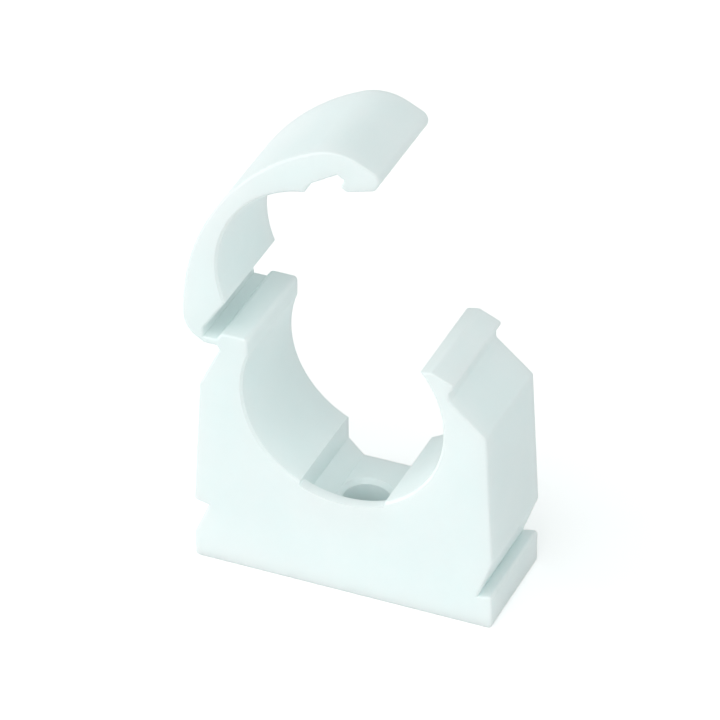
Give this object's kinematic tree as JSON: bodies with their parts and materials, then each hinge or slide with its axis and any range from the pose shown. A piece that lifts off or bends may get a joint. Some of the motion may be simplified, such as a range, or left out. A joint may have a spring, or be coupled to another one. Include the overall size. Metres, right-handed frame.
{
  "type": "hinged pipe clip",
  "caption": "Open plastic pipe clip: a grooved foot with a round pipe seat, a screw hole in the seat's floor, and an arched strap on a living hinge that snaps shut over the pipe.",
  "frame": {"origin": "centre of the foot's underside, on the axis of the screw hole", "axes": "+Z out of the wall along the screw hole, +Y along the pipe from the front face to the back, +X from the hinge side to the catch side"},
  "size_m": [0.0343, 0.013, 0.0536],
  "materials": {
    "white_plastic": "satin moulded polypropylene"
  },
  "bodies": {
    "saddle": {"saddle": "white_plastic", "hinge_web": "white_plastic"},
    "strap": {"strap": "white_plastic"}
  },
  "joints": [
    {"name": "strap_hinge", "type": "hinge", "parent": "saddle", "child": "strap", "pos_m": [-0.0146, 0, 0.02755], "axis": [0, 1, 0], "range_deg": [-75, 56], "stiffness_Nm_per_rad": 0.02, "deforming": ["hinge_web"]}
  ]
}
